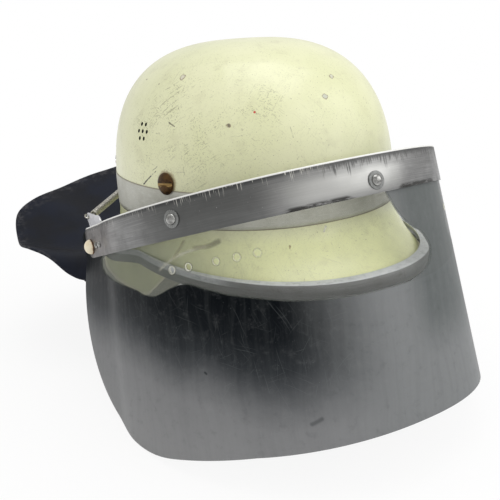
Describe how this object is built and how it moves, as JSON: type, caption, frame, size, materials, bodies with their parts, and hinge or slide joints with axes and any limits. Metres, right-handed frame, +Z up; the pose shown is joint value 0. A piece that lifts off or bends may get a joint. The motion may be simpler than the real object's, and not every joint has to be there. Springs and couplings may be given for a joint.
{
  "type": "fire helmet",
  "caption": "Aluminium fire helmet in pale luminous lacquer with a clip-on clear face visor that swivels up on side pivots, a coil retaining spring and a leather neck guard.",
  "frame": {"origin": "centre of the head opening, level with the crease where the dome meets the skirt", "axes": "+Z up as worn, -Y to the front, -X to the wearer's right"},
  "size_m": [0.3274, 0.4711, 0.2851],
  "materials": {
    "lacquer": "gloss, luminous cream yellow, chipped",
    "tape": "grey reflective tape",
    "bronze_screw": "dark, rusty",
    "alu_sheet": "brushed, scratched",
    "band_metal": "satin, scratched",
    "spring_steel": "bright wire",
    "zinc_steel": "satin",
    "clear_plate": "clear plastic, scratched and hazy",
    "painted_cap": "cream paint, worn",
    "fibre_black": "matt",
    "brass_part": "satin",
    "tan_leather": "smooth",
    "dark_leather": "smooth, dark blue-black",
    "strap_leather": "smooth",
    "lace_cord": "matt"
  },
  "bodies": {
    "helmet": {"shell": "lacquer", "reflective_stripe": "tape", "liner_screws": "bronze_screw", "liner_spacers": "fibre_black", "liner_nuts": "brass_part", "outer_ring": "alu_sheet", "inner_ring": "alu_sheet", "ring_springs": "zinc_steel", "sweatband": "tan_leather", "crown_tongues": "tan_leather", "crown_lace": "lace_cord", "strap_hangers": "zinc_steel", "strap_rivets": "brass_part", "chin_strap_long": "strap_leather", "chin_strap_short": "strap_leather", "strap_buckle": "brass_part", "neck_guard": "dark_leather", "guard_studs": "zinc_steel", "guard_stud_caps": "zinc_steel", "brim_rail": "alu_sheet", "rail_end_plates": "alu_sheet", "end_plate_rivets": "alu_sheet", "retaining_spring": "spring_steel", "pivot_screws": "zinc_steel", "pivot_caps": "painted_cap", "pivot_washers": "zinc_steel"},
    "visor": {"visor_band": "band_metal", "visor_plate": "clear_plate", "band_rivets": "zinc_steel", "rivet_washers": "zinc_steel", "end_rivets": "zinc_steel"}
  },
  "joints": [
    {"name": "visor_swivel", "type": "hinge", "parent": "helmet", "child": "visor", "pos_m": [0, 0.051, -0.034], "axis": [-1, 0, 0], "range_deg": [-5, 85]}
  ]
}
